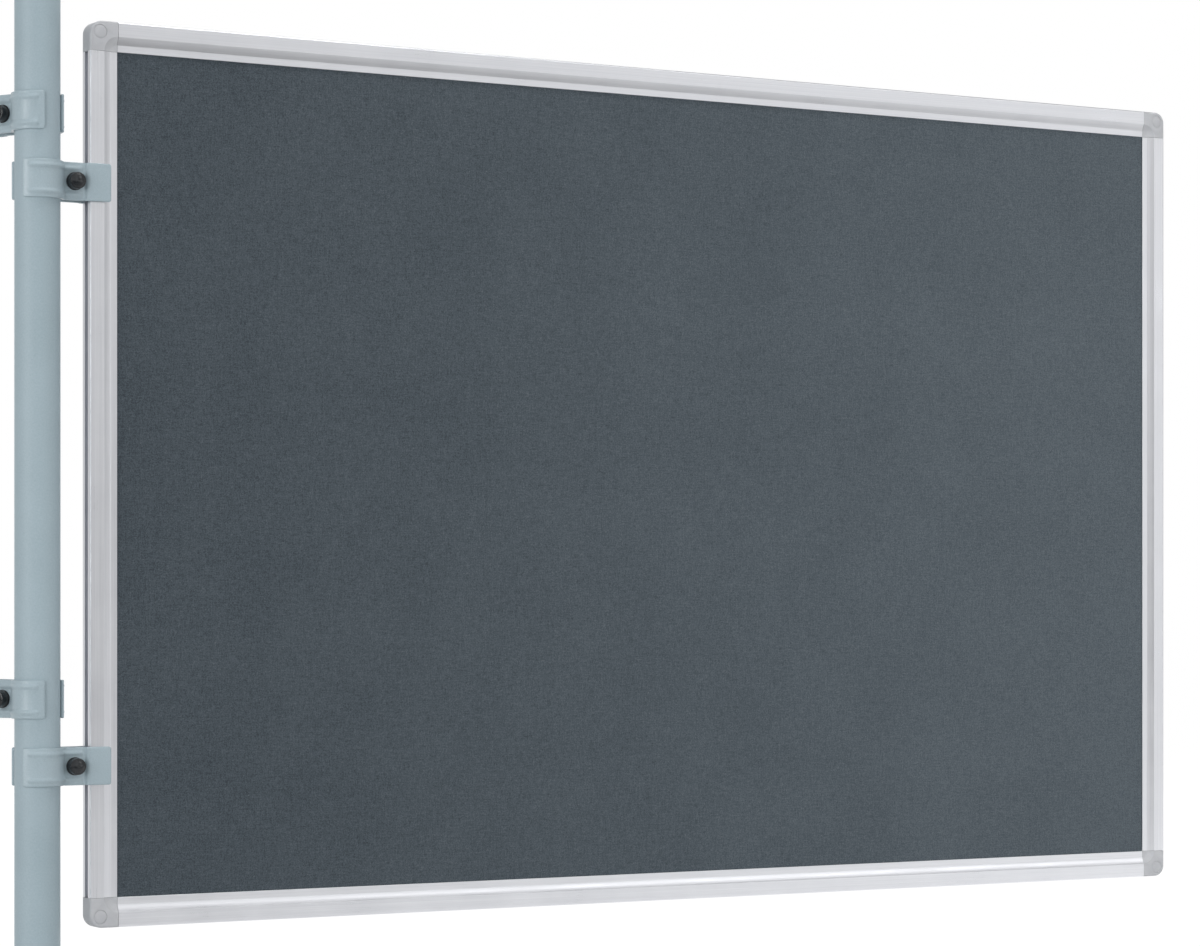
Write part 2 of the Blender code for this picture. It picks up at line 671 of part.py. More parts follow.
def main():
    clear_scene()
    mats = make_materials()
    add_pole(mats)
    board = add_empty("board", (0, 0, 0))
    add_frame(board, mats)
    add_panel(board, mats)
    add_corners(board, mats)
    add_clamps(board, mats)


main()
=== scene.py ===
import json
import math

import bmesh
import bpy
from mathutils import Matrix, Vector


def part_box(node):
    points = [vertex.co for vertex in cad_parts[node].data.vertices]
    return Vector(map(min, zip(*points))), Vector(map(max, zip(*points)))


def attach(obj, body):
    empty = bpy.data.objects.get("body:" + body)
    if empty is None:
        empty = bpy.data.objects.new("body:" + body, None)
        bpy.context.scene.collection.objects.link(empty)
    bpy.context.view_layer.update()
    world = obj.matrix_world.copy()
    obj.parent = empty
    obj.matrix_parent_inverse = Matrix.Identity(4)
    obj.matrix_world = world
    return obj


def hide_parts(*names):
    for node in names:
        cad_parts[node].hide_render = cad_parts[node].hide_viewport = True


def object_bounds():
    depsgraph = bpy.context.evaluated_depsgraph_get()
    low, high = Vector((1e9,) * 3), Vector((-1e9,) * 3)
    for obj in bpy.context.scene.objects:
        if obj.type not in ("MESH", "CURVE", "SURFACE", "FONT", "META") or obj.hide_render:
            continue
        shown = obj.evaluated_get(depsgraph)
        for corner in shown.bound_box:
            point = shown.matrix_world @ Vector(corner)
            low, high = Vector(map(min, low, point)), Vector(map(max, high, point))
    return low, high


# The looks of a felt board in an aluminium frame, clamped to a coated pole: its finishes and fine meshes,
# the camera and the light. In metres, +Z up, the pole's axis on the Z axis, the board along +X, facing -Y.

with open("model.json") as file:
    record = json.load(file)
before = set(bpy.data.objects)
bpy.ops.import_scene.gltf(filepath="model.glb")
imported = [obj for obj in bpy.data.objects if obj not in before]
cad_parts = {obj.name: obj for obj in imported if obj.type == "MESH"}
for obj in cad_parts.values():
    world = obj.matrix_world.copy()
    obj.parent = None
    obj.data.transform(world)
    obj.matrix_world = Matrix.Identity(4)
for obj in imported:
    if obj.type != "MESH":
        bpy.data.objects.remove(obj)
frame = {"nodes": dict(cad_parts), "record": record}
cad_low, cad_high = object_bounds()
nodes = frame["nodes"]
record = frame["record"]
BODY_OF = {node: body for body, members in record["behaviour"]["bodies"].items() for node in members}

# Sizes read from the frame
CORNER_LOW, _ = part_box("corner_bottom_left")
_, CORNER_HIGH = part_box("corner_top_right")
LEFT, BOTTOM = CORNER_LOW.x, CORNER_LOW.z
RIGHT, TOP = CORNER_HIGH.x, CORNER_HIGH.z
HALF_DEPTH = CORNER_HIGH.y
PROFILE_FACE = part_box("frame_left")[1].x - LEFT
UPRIGHT_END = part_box("frame_left")[0].z - BOTTOM
POLE_LOW, POLE_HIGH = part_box("pole")
POLE_RADIUS = POLE_HIGH.x

# The room between pieces, a cutter's reach past a face, and the flat that is kept beside a rounding
CLEARANCE = 0.0003
CUT = 0.002
HOLD = 0.00015

SMOOTH_ANGLE = math.radians(26)
EASE_ANGLE = math.radians(50)
JAW_EASE_ANGLE = math.radians(60)
EASE_STEPS = 4

# Points round a circle, by the piece it belongs to, and along an arc
TUBE_POINTS = 96
NUT_POINTS = 72
CAP_POINTS = 64
PLUG_POINTS = 56
HOLE_POINTS = 40
SCREW_POINTS = 36
CORNER_STEPS = 14
COVE_STEPS = 10
EDGE_STEPS = 7

# Extruded profile
OUTER_FLAT = 0.0165
COVE_WIDTH = 0.009
EDGE_RADIUS = 0.002
SMALL_EDGE = 0.0004
LIP_THICKNESS = 0.0012
GROOVE_HALF = 0.0045
GROOVE_DEPTH = 0.005
WALL = 0.0016
SLOT_BOTTOM = 0.0185
SLOT_HALF = 0.0073
LIP_LEVEL = SLOT_HALF + LIP_THICKNESS
COVE_END = OUTER_FLAT + COVE_WIDTH
COVE_DROP = HALF_DEPTH - LIP_LEVEL
COVE_SLOPE = math.atan2(COVE_DROP, COVE_WIDTH)
COVE_CURVE = math.radians(9)
COVE_RADIUS = math.hypot(COVE_WIDTH, COVE_DROP) / (2 * math.sin(COVE_CURVE))

# Corner caps and plugs
CORNER_RADIUS = 0.014
CORNER_EASE = 0.00025
LEG_LENGTH = 0.030
LEG_ROOT = 0.021
LEG_TAPER = 0.0015
PLUG_RADIUS = 0.0075
PLUG_INSET = 0.012
PLUG_DEPTH = 0.003
PLUG_CROWN = 0.0005
PLUG_RIM = 0.0009
PLUG_RIM_DROP = 0.0001
PLUG_GAP = 0.00015

# Pole and the cap in its upper end
POLE_WALL = 0.002
POLE_LIP = 0.0005
POLE_CAP_CROWN = 0.0012
POLE_CAP_MARGIN = 0.001
POLE_CAP_EDGE = 0.0006
POLE_CAP_SPIGOT = 0.022
POLE_CAP_SKIN = 0.0025

# Pressed jaw
STEEL = 0.0035
JAW_HALF = 0.021
WRAP_ANGLE = math.radians(146)
ROOT_RADIUS = 0.00475
NECK_HALF_GAP = 0.008
NECK_LENGTH = 0.0212
STEP_RADIUS = 0.004
GRIP_LENGTH = 0.0237
JAW_CORNER = 0.0027
JAW_CORNER_STEPS = 8
JAW_EDGE = 0.0011
BEAD_FROM_EDGE = 0.0028
BEAD_WIDTH = 0.008
BEAD_HEIGHT = 0.0014
BEAD_START = 0.0055
BEAD_RUN_OUT = 0.004
MIDDLE_ROW = 0.005
END_ROW = 0.0032
NEIGHBOUR_TURN = math.radians(120)
SADDLE_RADIUS = POLE_RADIUS + CLEARANCE + STEEL / 2
NECK_LEVEL = NECK_HALF_GAP + STEEL / 2
GRIP_LEVEL = HALF_DEPTH + CLEARANCE + STEEL / 2
ROOT_HEIGHT = NECK_LEVEL + ROOT_RADIUS
NECK_START = math.sqrt((SADDLE_RADIUS + ROOT_RADIUS) ** 2 - ROOT_HEIGHT ** 2)
ROOT_ANGLE = math.atan2(ROOT_HEIGHT, NECK_START)
NECK_END = NECK_START + NECK_LENGTH
SCREW_REACH = (NECK_START + NECK_END) / 2
STEP_ANGLE = math.acos(1 - (GRIP_LEVEL - NECK_LEVEL) / (2 * STEP_RADIUS))
GRIP_START = NECK_END + 2 * STEP_RADIUS * math.sin(STEP_ANGLE)
GRIP_END = GRIP_START + GRIP_LENGTH

# Screw, nut, washer and screw cap
SCREW_RADIUS = 0.004
THREAD_PITCH = 0.00125
THREAD_DEPTH = 0.0007
THREAD_FADE = 0.0012
THREAD_TIP = 0.0005
RINGS_A_TURN = 6
HEX_WIDTH = 0.013
HEX_HEIGHT = 0.0053
HEX_MARGIN = 0.0002
HEX_CONE = math.radians(30)
NUT_HEIGHT = 0.0065
NUT_CHAMFER = 0.0005
PAST_NUT = 0.0025
WASHER_RADIUS = 0.010
WASHER_THICKNESS = 0.0016
SCREW_CAP_RADIUS = 0.0095
SCREW_CAP_HEIGHT = 0.011
SCREW_CAP_CROWN = 0.0022
SCREW_CAP_RIM = 0.0019
SCREW_CAP_STEP = 0.0004
SCREW_CAP_FOOT = 0.0018
DIMPLE_RADIUS = 0.0014
DIMPLE_DEPTH = 0.0004
WASHER_SEAT = NECK_HALF_GAP + STEEL + CLEARANCE
HEAD_SEAT = WASHER_SEAT + WASHER_THICKNESS + CLEARANCE
NUT_SEAT = WASHER_SEAT


class Value:
    """A shader value that takes part in Python sums: each step adds a Math node."""

    def __init__(self, owner, socket):
        self.owner = owner
        self.socket = socket

    def math(self, operation, *terms):
        return self.owner.node("ShaderNodeMath", {"operation": operation}, dict(enumerate(terms)))

    def __add__(self, other):
        return self.math("ADD", self, other)

    def __sub__(self, other):
        return self.math("SUBTRACT", self, other)

    def __rsub__(self, other):
        return self.math("SUBTRACT", other, self)

    def __mul__(self, other):
        return self.math("MULTIPLY", self, other)

    def __gt__(self, other):
        return self.math("GREATER_THAN", self, other)

    __radd__ = __add__
    __rmul__ = __mul__


class Nodes:
    """The nodes of a material or a world, made one at a time."""

    def __init__(self, tree):
        self.tree = tree

    def node(self, kind, settings, inputs, output=0):
        """A node with its settings, then the numbers or values of its sockets; gives one output."""
        made = self.tree.nodes.new(kind)
        for name, value in settings.items():
            setattr(made, name, value)
        for name, value in inputs.items():
            self.feed(made.inputs[name], value)
        return Value(self, made.outputs[output]) if made.outputs else None

    def feed(self, socket, value):
        if isinstance(value, Value):
            self.tree.links.new(value.socket, socket)
        else:
            socket.default_value = value

    def axes(self, vector):
        """A vector's three coordinates, each as a value."""
        split = self.node("ShaderNodeSeparateXYZ", {}, {"Vector": vector}).socket.node
        return [Value(self, output) for output in split.outputs]

    def spread(self, value, low, high, to_low=0.0, to_high=1.0):
        """The value's stretch from low to high, spread over to_low to to_high and held there beyond."""
        inputs = {"Value": value, "From Min": low, "From Max": high, "To Min": to_low, "To Max": to_high}
        return self.node("ShaderNodeMapRange", {"clamp": True}, inputs)


class Finish(Nodes):
    """A procedural material on a Principled shader."""

    def __init__(self, name, **constants):
        self.material = bpy.data.materials.new(name)
        self.material.use_nodes = True
        super().__init__(self.material.node_tree)
        self.shader = self.tree.nodes["Principled BSDF"]
        for socket, value in constants.items():
            self.shader.inputs[socket.replace("_", " ")].default_value = value
        self.place = self.node("ShaderNodeTexCoord", {}, {}, "Object")

    def set(self, socket, value):
        self.feed(self.shader.inputs[socket], value)

    def stretched(self, x, y, z):
        """The place with its axes scaled, which draws a pattern out along an axis with a low number."""
        return self.node("ShaderNodeVectorMath", {"operation": "MULTIPLY"}, {0: self.place, 1: (x, y, z)})

    def noise(self, scale, detail=2, roughness=0.5, at=None, distortion=0):
        inputs = {
            "Vector": at or self.place,
            "Scale": scale,
            "Detail": detail,
            "Roughness": roughness,
            "Distortion": distortion,
        }
        return self.node("ShaderNodeTexNoise", {}, inputs)

    def mix(self, share, a, b):
        """Two colours mixed: sockets 0, 6 and 7 are the share and the two colours, output 2 the result."""
        return self.node("ShaderNodeMix", {"data_type": "RGBA"}, {0: share, 6: a, 7: b}, 2)

    def bump(self, height, distance, strength=1.0, normal=None):
        inputs = {"Height": height, "Distance": distance, "Strength": strength}
        if normal:
            inputs["Normal"] = normal
        return self.node("ShaderNodeBump", {}, inputs)


class Room(Nodes):
    """Nodes that tell one kind of ray from another, for the world and the floor; their trees start empty."""

    def __init__(self, tree):
        super().__init__(tree)
        tree.nodes.clear()
        self.path = self.node("ShaderNodeLightPath", {}, {}).socket.node

    def ray(self, kind):
        return Value(self, self.path.outputs[kind])


def colour(red, green, blue):
    return (red, green, blue, 1)


def powder_coat(name, peel_depth, rough, shine):
    """Blue-grey powder coat: orange peel, a faint grain of pigment and slow drifts of gloss."""
    finish = Finish(name, Coat_Weight=shine, Coat_Roughness=0.24)
    drift = finish.noise(9, 3)
    grain = finish.noise(2600, 2, 0.7)
    peel = finish.noise(560, 3, 0.5)
    shade = finish.spread(drift * 0.4 + grain * 0.25 + peel * 0.35, 0.36, 0.64)
    finish.set("Base Color", finish.mix(shade, colour(0.295, 0.375, 0.415), colour(0.355, 0.44, 0.485)))
    finish.set("Roughness", finish.spread(peel * 0.5 + drift * 0.5, 0.3, 0.7, rough, rough + 0.12))
    finish.set("Normal", finish.bump(grain, 0.00001, 0.6, finish.bump(peel, peel_depth, 0.8)))
    return finish.material


def anodised(name, along):
    """Natural anodised aluminium with the fine die lines of the extrusion running along it."""
    finish = Finish(name, Metallic=1.0)
    drawn_out = 0.004
    lines_at = finish.stretched(*(drawn_out if axis == along else 1 for axis in "xyz"))
    fine = finish.noise(3200, 2, 0.6, lines_at)
    broad = finish.noise(620, 3, 0.55, lines_at)
    cloud = finish.noise(14, 4, 0.6)
    specks = finish.noise(1500, 1, 0.5) > 0.73
    shade = finish.spread(fine * 0.35 + broad * 0.35 + cloud * 0.3, 0.36, 0.64)
    metal = finish.mix(shade, colour(0.665, 0.675, 0.71), colour(0.775, 0.785, 0.815))
    finish.set("Base Color", finish.mix(specks * 0.25, metal, colour(0.55, 0.56, 0.58)))
    finish.set("Roughness", finish.spread(fine * 0.5 + cloud * 0.5, 0.3, 0.7, 0.26, 0.42))
    finish.set("Normal", finish.bump(fine, 0.000012, 0.6, finish.bump(broad, 0.00003, 0.5)))
    return finish.material


def felt():
    """Slate-grey needled felt: a faint weave, fuzz, lint, slow drifts of shade, and painted light that makes
    it paler to the right.
    """
    finish = Finish("felt", Roughness=0.95, Sheen_Weight=0.4, Sheen_Roughness=0.4, Specular_IOR_Level=0.2)
    finish.shader.inputs["Sheen Tint"].default_value = colour(0.72, 0.82, 0.92)
    upright = finish.noise(900, 2, 0.55, finish.stretched(1, 1, 0.10))
    level = finish.noise(900, 2, 0.55, finish.stretched(0.10, 1, 1))
    fuzz = finish.noise(760, 4, 0.68, distortion=0.4)
    drift = finish.noise(7, 3, 0.55)
    lint = finish.noise(330, 1, 0.5, finish.stretched(1, 1, 1.3)) > 0.76
    pits = finish.noise(410, 1, 0.5, finish.stretched(1.2, 1, 1)) > 0.74
    threads = upright * 0.5 + level * 0.5
    across, _, _ = finish.axes(finish.place)
    # painted light: the felt's colour grows paler from the left edge to the right edge, where more light
    # falls
    painted_light_ramp = finish.spread(across, LEFT, RIGHT, -0.045, 0.045)
    pile = finish.spread(threads * 0.3 + fuzz * 0.62 + drift * 0.08 + painted_light_ramp, 0.37, 0.63)
    cloth = finish.mix(pile, colour(0.035, 0.046, 0.056), colour(0.107, 0.128, 0.146))
    cloth = finish.mix(lint * 0.35, cloth, colour(0.16, 0.18, 0.195))
    finish.set("Base Color", finish.mix(pits * 0.4, cloth, colour(0.05, 0.062, 0.072)))
    finish.set("Normal", finish.bump(threads, 0.0002, 0.5, finish.bump(fuzz, 0.0004, 0.55)))
    return finish.material


def fibreboard():
    """Soft fibreboard, raw: pressed fibres lying in its plane."""
    finish = Finish("fibreboard", Roughness=0.9, Specular_IOR_Level=0.25)
    fibres = finish.noise(240, 5, 0.7, finish.stretched(1, 4, 1), 1.2)
    flakes = finish.noise(60, 3, 0.6)
    shade = finish.spread(fibres * 0.6 + flakes * 0.4, 0.35, 0.65)
    finish.set("Base Color", finish.mix(shade, colour(0.30, 0.205, 0.12), colour(0.50, 0.37, 0.235)))
    finish.set("Normal", finish.bump(fibres, 0.0003, 0.6))
    return finish.material


def corner_plastic():
    """Light grey moulded plastic with a fine eroded skin."""
    finish = Finish("corner_plastic", IOR=1.46)
    skin = finish.noise(2400, 2, 0.6)
    flow = finish.noise(60, 3, 0.5, distortion=0.8)
    shade = finish.spread(flow * 0.7 + skin * 0.3, 0.35, 0.65)
    finish.set("Base Color", finish.mix(shade, colour(0.44, 0.45, 0.475), colour(0.49, 0.50, 0.52)))
    finish.set("Roughness", finish.spread(skin * 0.5 + flow * 0.5, 0.3, 0.7, 0.38, 0.5))
    finish.set("Normal", finish.bump(skin, 0.000025, 0.5))
    return finish.material


def black_plastic():
    """Black moulded plastic, semi-gloss, with a fine grain."""
    finish = Finish("black_plastic", IOR=1.5)
    skin = finish.noise(1900, 2, 0.6)
    rubbed = finish.noise(300, 3, 0.6)
    mottle = finish.spread(skin, 0.35, 0.65)
    wear = finish.spread(rubbed, 0.5, 0.8, 0, 0.4)
    shade = finish.mix(mottle, colour(0.006, 0.008, 0.010), colour(0.014, 0.017, 0.020))
    finish.set("Base Color", finish.mix(wear, shade, colour(0.026, 0.029, 0.032)))
    finish.set("Roughness", finish.spread(skin * 0.4 + rubbed * 0.6, 0.3, 0.7, 0.12, 0.26))
    finish.set("Normal", finish.bump(skin, 0.00002, 0.5))
    return finish.material


def zinc_plate():
    """Bright zinc on steel: mottled crystals and a trace of blue passivation."""
    finish = Finish("zinc_plate", Metallic=1.0)
    cells = {"Vector": finish.place, "Scale": 900}
    crystals = finish.node("ShaderNodeTexVoronoi", {"feature": "SMOOTH_F1"}, cells)
    stain = finish.noise(260, 3, 0.6)
    mottle = finish.spread(crystals, 0.2, 0.8)
    blued = finish.spread(stain, 0.55, 0.75, 0, 0.5)
    metal = finish.mix(mottle, colour(0.60, 0.62, 0.65), colour(0.74, 0.75, 0.76))
    finish.set("Base Color", finish.mix(blued, metal, colour(0.52, 0.55, 0.62)))
    finish.set("Roughness", finish.spread(stain * 0.6 + crystals * 0.4, 0.3, 0.7, 0.24, 0.42))
    finish.set("Normal", finish.bump(crystals, 0.00002, 0.4))
    return finish.material


def black_steel():
    """Blackened steel, oiled: dark metal with lighter rubbed patches."""
    finish = Finish("black_steel", Metallic=0.7)
    rubbed = finish.noise(420, 3, 0.6)
    grain = finish.noise(3000, 2, 0.6)
    share = finish.spread(rubbed, 0.55, 0.8, 0, 0.6)
    finish.set("Base Color", finish.mix(share, colour(0.022, 0.024, 0.027), colour(0.075, 0.078, 0.082)))
    finish.set("Roughness", finish.spread(rubbed * 0.5 + grain * 0.5, 0.3, 0.7, 0.3, 0.46))
    finish.set("Normal", finish.bump(grain, 0.00001, 0.4))
    return finish.material


def arc(centre, radius, start, end, steps):
    """Points on an arc in a plane, both ends included."""
    points = []
    for i in range(steps + 1):
        angle = start + (end - start) * i / steps
        points.append((centre[0] + radius * math.cos(angle), centre[1] + radius * math.sin(angle)))
    return points


def shares(count):
    """The whole cut into equal parts: where each part ends, from 1 / count to 1."""
    return [i / count for i in range(1, count + 1)]


def turns(count):
    """Equally spaced angles of a full turn."""
    return [math.tau * i / count for i in range(count)]


def flat_ring(radius, height, count):
    """A level circle of points round the z axis."""
    return [(radius * math.cos(angle), radius * math.sin(angle), height) for angle in turns(count)]


def crowned(reach, base, crown, stops, power=2):
    """Corners for softened along a shallow dome, from its middle out, at these shares of its reach."""
    return [(stop * reach, base + crown * (1 - stop ** power), 0) for stop in stops]


def softened(corners, steps=4, hold=0.0):
    """An open outline whose corners, each (x, y, radius), are rounded; a radius of 0 keeps the point.

    A hold adds a point that far beyond both ends of a rounding, which keeps the flats beside it flat.
    """
    points = []
    for i, (x, y, radius) in enumerate(corners):
        if not radius:
            points.append((x, y))
            continue
        here = Vector((x, y))
        before = (Vector(corners[i - 1][:2]) - here).normalized()
        after = (Vector(corners[i + 1][:2]) - here).normalized()
        half_angle = before.angle(after) / 2
        reach = radius / math.tan(half_angle)
        centre = here + (before + after).normalized() * radius / math.sin(half_angle)
        start, end = here + before * reach - centre, here + after * reach - centre
        turn = start.angle_signed(end)
        first = math.atan2(start.y, start.x)
        rounding = arc(centre, radius, first, first - turn, steps)
        if hold:
            first_held, last_held = (tuple(here + side * (reach + hold)) for side in (before, after))
            rounding = [first_held, *rounding, last_held]
        points += rounding
    return points


def softened_ring(corners, hold=0.0):
    """As softened, for an outline that closes on itself."""
    before, after = (*corners[-1][:2], 0), (*corners[0][:2], 0)
    return softened([before, *corners, after], hold=hold)[1:-1]


def smoothed(mesh):
    """The mesh shaded smooth, but for the edges where it turns sharply."""
    mesh.shade_smooth()
    mesh.set_sharp_from_angle(angle=SMOOTH_ANGLE)
    return mesh


def mesh_from(name, bm):
    """The mesh of a finished bmesh, its faces turned outwards."""
    bmesh.ops.recalc_face_normals(bm, faces=bm.faces)
    mesh = bpy.data.meshes.new(name)
    bm.to_mesh(mesh)
    bm.free()
    return smoothed(mesh)


def bridge(bm, row_a, row_b):
    """Faces between two closed rows of vertices."""
    for i in range(len(row_a)):
        j = (i + 1) % len(row_a)
        bm.faces.new((row_a[i], row_a[j], row_b[j], row_b[i]))


def linked_rings(bm, rings):
    """Vertices along each ring of points, with faces from one ring to the next."""
    rows = [[bm.verts.new(point) for point in ring] for ring in rings]
    for row_a, row_b in zip(rows, rows[1:]):
        bridge(bm, row_a, row_b)
    return rows


def ringed(name, rings, closed=False):
    """A body through rings of equal point counts: closed on itself, or capped at both ends."""
    bm = bmesh.new()
    rows = linked_rings(bm, rings)
    if closed:
        bridge(bm, rows[-1], rows[0])
    else:
        bm.faces.new(rows[0])
        bm.faces.new(rows[-1])
    return mesh_from(name, bm)


def stacked(name, layers):
    """A body through flat outlines of equal point counts, each with its height."""
    return ringed(name, [[(x, y, z) for x, y in outline] for outline, z in layers])


def turned(name, profile, count, closed=False):
    """A turned body from (radius, height) points; open profiles start and end on the axis."""
    if closed:
        return ringed(name, [flat_ring(radius, height, count) for radius, height in profile], closed=True)
    bm = bmesh.new()
    rows = linked_rings(bm, [flat_ring(radius, height, count) for radius, height in profile[1:-1]])
    for tip, row in ((profile[0], rows[0]), (profile[-1], rows[-1])):
        point = bm.verts.new((0, 0, tip[1]))
        for i in range(count):
            bm.faces.new((point, row[i], row[(i + 1) % count]))
    return mesh_from(name, bm)


def box_mesh(name, low, high):
    """A plain box between two corners, to cut with."""
    bm = bmesh.new()
    bmesh.ops.create_cube(bm, size=1)
    fit = Matrix.Translation((low + high) / 2) @ Matrix.Diagonal((*(high - low), 1))
    bmesh.ops.transform(bm, matrix=fit, verts=bm.verts)
    return mesh_from(name, bm)


def drill_mesh(name, radius, low, high, count):
    """A plain cylinder from one height to another, to cut with."""
    return ringed(name, [flat_ring(radius, end, count) for end in (low, high)])


def add_object(name, data):
    obj = bpy.data.objects.new(name, data)
    bpy.context.scene.collection.objects.link(obj)
    return obj


def settled(name, mesh, add_modifiers, tools=()):
    """The mesh after the modifiers that add_modifiers puts on a passing object; its tools go too."""
    passing = add_object(name, mesh)
    add_modifiers(passing)
    bpy.context.view_layer.update()
    result = bpy.data.meshes.new_from_object(passing.evaluated_get(bpy.context.evaluated_depsgraph_get()))
    result.name = name
    for obj in (passing, *tools):
        bpy.data.objects.remove(obj, do_unlink=True)
    return smoothed(result)


def carved(name, mesh, steps, bevel=0.0):
    """The mesh after a chain of Boolean steps, each a (mesh, operation, place), its edges eased by bevel."""
    tools = []
    for tool_mesh, _, place in steps:
        tool = add_object(f"{name}_tool", tool_mesh)
        tool.hide_render = True
        tool.matrix_world = place
        tools.append(tool)

    def add_modifiers(obj):
        for tool, (_, operation, _) in zip(tools, steps):
            step = obj.modifiers.new("cut", "BOOLEAN")
            step.operation = operation
            step.solver = "EXACT"
            step.object = tool
        if bevel:
            ease(obj, bevel)

    return settled(name, mesh, add_modifiers, tools)


def ease(obj, width, angle=EASE_ANGLE):
    """Rounds the edges that turn by more than the angle."""
    step = obj.modifiers.new("ease", "BEVEL")
    step.width = width
    step.segments = EASE_STEPS
    step.limit_method = "ANGLE"
    step.angle_limit = angle
    step.use_clamp_overlap = True


def piece(name, mesh, material, node, place=None):
    """A finished mesh, set in place, that stands for a CAD node and moves with its body."""
    placed = mesh.copy()
    placed.transform(place or Matrix())
    placed.materials.clear()
    placed.materials.append(material)
    obj = add_object(name, placed)
    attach(obj, BODY_OF[node])
    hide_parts(node)
    return obj


def cove_points():
    """The cove in (distance from the outer edge, depth), from the outer flat down to the lip."""
    last = -math.pi / 2 - COVE_SLOPE + COVE_CURVE
    centre = (COVE_END - COVE_RADIUS * math.cos(last), LIP_LEVEL - COVE_RADIUS * math.sin(last))
    return arc(centre, COVE_RADIUS, last - 2 * COVE_CURVE, last, COVE_STEPS)


def section_outline():
    """The profile's outside: x from the board's outer edge inwards, y through its depth."""
    cove = [(x, y, 0) for x, y in cove_points()]
    first_x, first_y, _ = cove[0]
    corners = [
        (GROOVE_DEPTH, 0, 0),
        (GROOVE_DEPTH, GROOVE_HALF, SMALL_EDGE),
        (0, GROOVE_HALF, SMALL_EDGE),
        (0, HALF_DEPTH, EDGE_RADIUS),
        (first_x, first_y, SMALL_EDGE),
        *cove[1:],
        (COVE_END + HOLD, LIP_LEVEL, 0),
        (PROFILE_FACE, LIP_LEVEL, SMALL_EDGE),
        (PROFILE_FACE, SLOT_HALF, SMALL_EDGE),
        (SLOT_BOTTOM, SLOT_HALF, 0),
    ]
    half = softened(corners, hold=HOLD)[1:]
    return half + [(x, -y) for x, y in reversed(half)]


def chamber_outline():
    """The hollow behind the groove, where the corner caps' legs sit."""
    half = [
        (GROOVE_DEPTH + WALL, GROOVE_HALF + WALL),
        (WALL, GROOVE_HALF + WALL),
        (WALL, HALF_DEPTH - WALL),
        (SLOT_BOTTOM - WALL, HALF_DEPTH - WALL),
    ]
    return half + [(x, -y) for x, y in reversed(half)]


def profile_length(name, length):
    """A straight length of the hollow profile, centred on z = 0."""
    bm = bmesh.new()
    edges = []
    for loop in (section_outline(), chamber_outline()):
        verts = [bm.verts.new((x, y, -length / 2)) for x, y in loop]
        edges += [bm.edges.new((verts[i - 1], verts[i])) for i in range(len(verts))]
    cap = bmesh.ops.triangle_fill(bm, use_beauty=True, use_dissolve=False, edges=edges)
    faces = [item for item in cap["geom"] if isinstance(item, bmesh.types.BMFace)]
    swept = bmesh.ops.extrude_face_region(bm, geom=faces, use_keep_orig=True)
    moved = [item for item in swept["geom"] if isinstance(item, bmesh.types.BMVert)]
    bmesh.ops.translate(bm, verts=moved, vec=(0, 0, length))
    return mesh_from(name, bm)


def add_frame():
    """Four lengths of profile between the corner caps."""
    upright_metal = anodised("anodised_upright", "z")
    rail_metal = anodised("anodised_rail", "x")
    upright = profile_length("upright", TOP - BOTTOM - 2 * UPRIGHT_END)
    rail = profile_length("rail", RIGHT - LEFT - 2 * UPRIGHT_END)
    across, along = (LEFT + RIGHT) / 2, (BOTTOM + TOP) / 2
    rail.transform(Matrix.Rotation(-math.pi / 2, 4, "Y"))
    half_turn = Matrix.Rotation(math.pi, 4, "Z")
    over = Matrix.Rotation(math.pi, 4, "X")
    places = (
        ("frame_left", upright, upright_metal, (LEFT, 0, along), Matrix()),
        ("frame_right", upright, upright_metal, (RIGHT, 0, along), half_turn),
        ("frame_bottom", rail, rail_metal, (across, 0, BOTTOM), Matrix()),
        ("frame_top", rail, rail_metal, (across, 0, TOP), over),
    )
    for node, mesh, metal, spot, turn in places:
        piece(f"{node}_profile", mesh, metal, node, Matrix.Translation(spot) @ turn)


def felt_mesh(name, middle, size):
    """A finely divided sheet as thick as its CAD solid."""
    bm = bmesh.new()
    bmesh.ops.create_grid(bm, x_segments=48, y_segments=32, size=0.5)
    fit = Matrix.Translation(middle) @ Matrix.Rotation(math.pi / 2, 4, "X")
    bmesh.ops.transform(bm, matrix=fit @ Matrix.Diagonal((size.x, size.z, 1, 1)), verts=bm.verts)

    def thicken(obj):
        step = obj.modifiers.new("thickness", "SOLIDIFY")
        step.thickness = size.y
        step.offset = 0

    return settled(name, mesh_from(name, bm), thicken)


def add_panel():
    """The core keeps its solid; each felt is a sheet glued to it."""
    core_finish = nodes["board_core"].data.materials
    core_finish.clear()
    core_finish.append(fibreboard())
    cloth = felt()
    for node in ("front_felt", "back_felt"):
        low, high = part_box(node)
        size = high - low
        name = f"{node}_sheet"
        sheet = piece(name, felt_mesh(name, (low + high) / 2, size), cloth, node)


def corner_outline(inset):
    """A corner cap seen from the front, its outer corner at the origin, drawn in on its two outer sides."""
    middle = (CORNER_RADIUS, CORNER_RADIUS)
    rounded = arc(middle, CORNER_RADIUS - inset, -math.pi / 2, -math.pi, CORNER_STEPS)
    return [(PROFILE_FACE, PROFILE_FACE), (PROFILE_FACE, inset), *rounded, (inset, PROFILE_FACE)]


def corner_blank():
    """The corner cap before it is carved, its front and back edges rounded."""
    middle = (EDGE_RADIUS, HALF_DEPTH - EDGE_RADIUS)
    rounding = arc(middle, EDGE_RADIUS, math.pi, math.pi / 2, EDGE_STEPS)
    layers = [(corner_outline(inset), depth) for inset, depth in rounding]
    back = [(outline, -depth) for outline, depth in reversed(layers)]
    return stacked("corner_blank", back + layers)


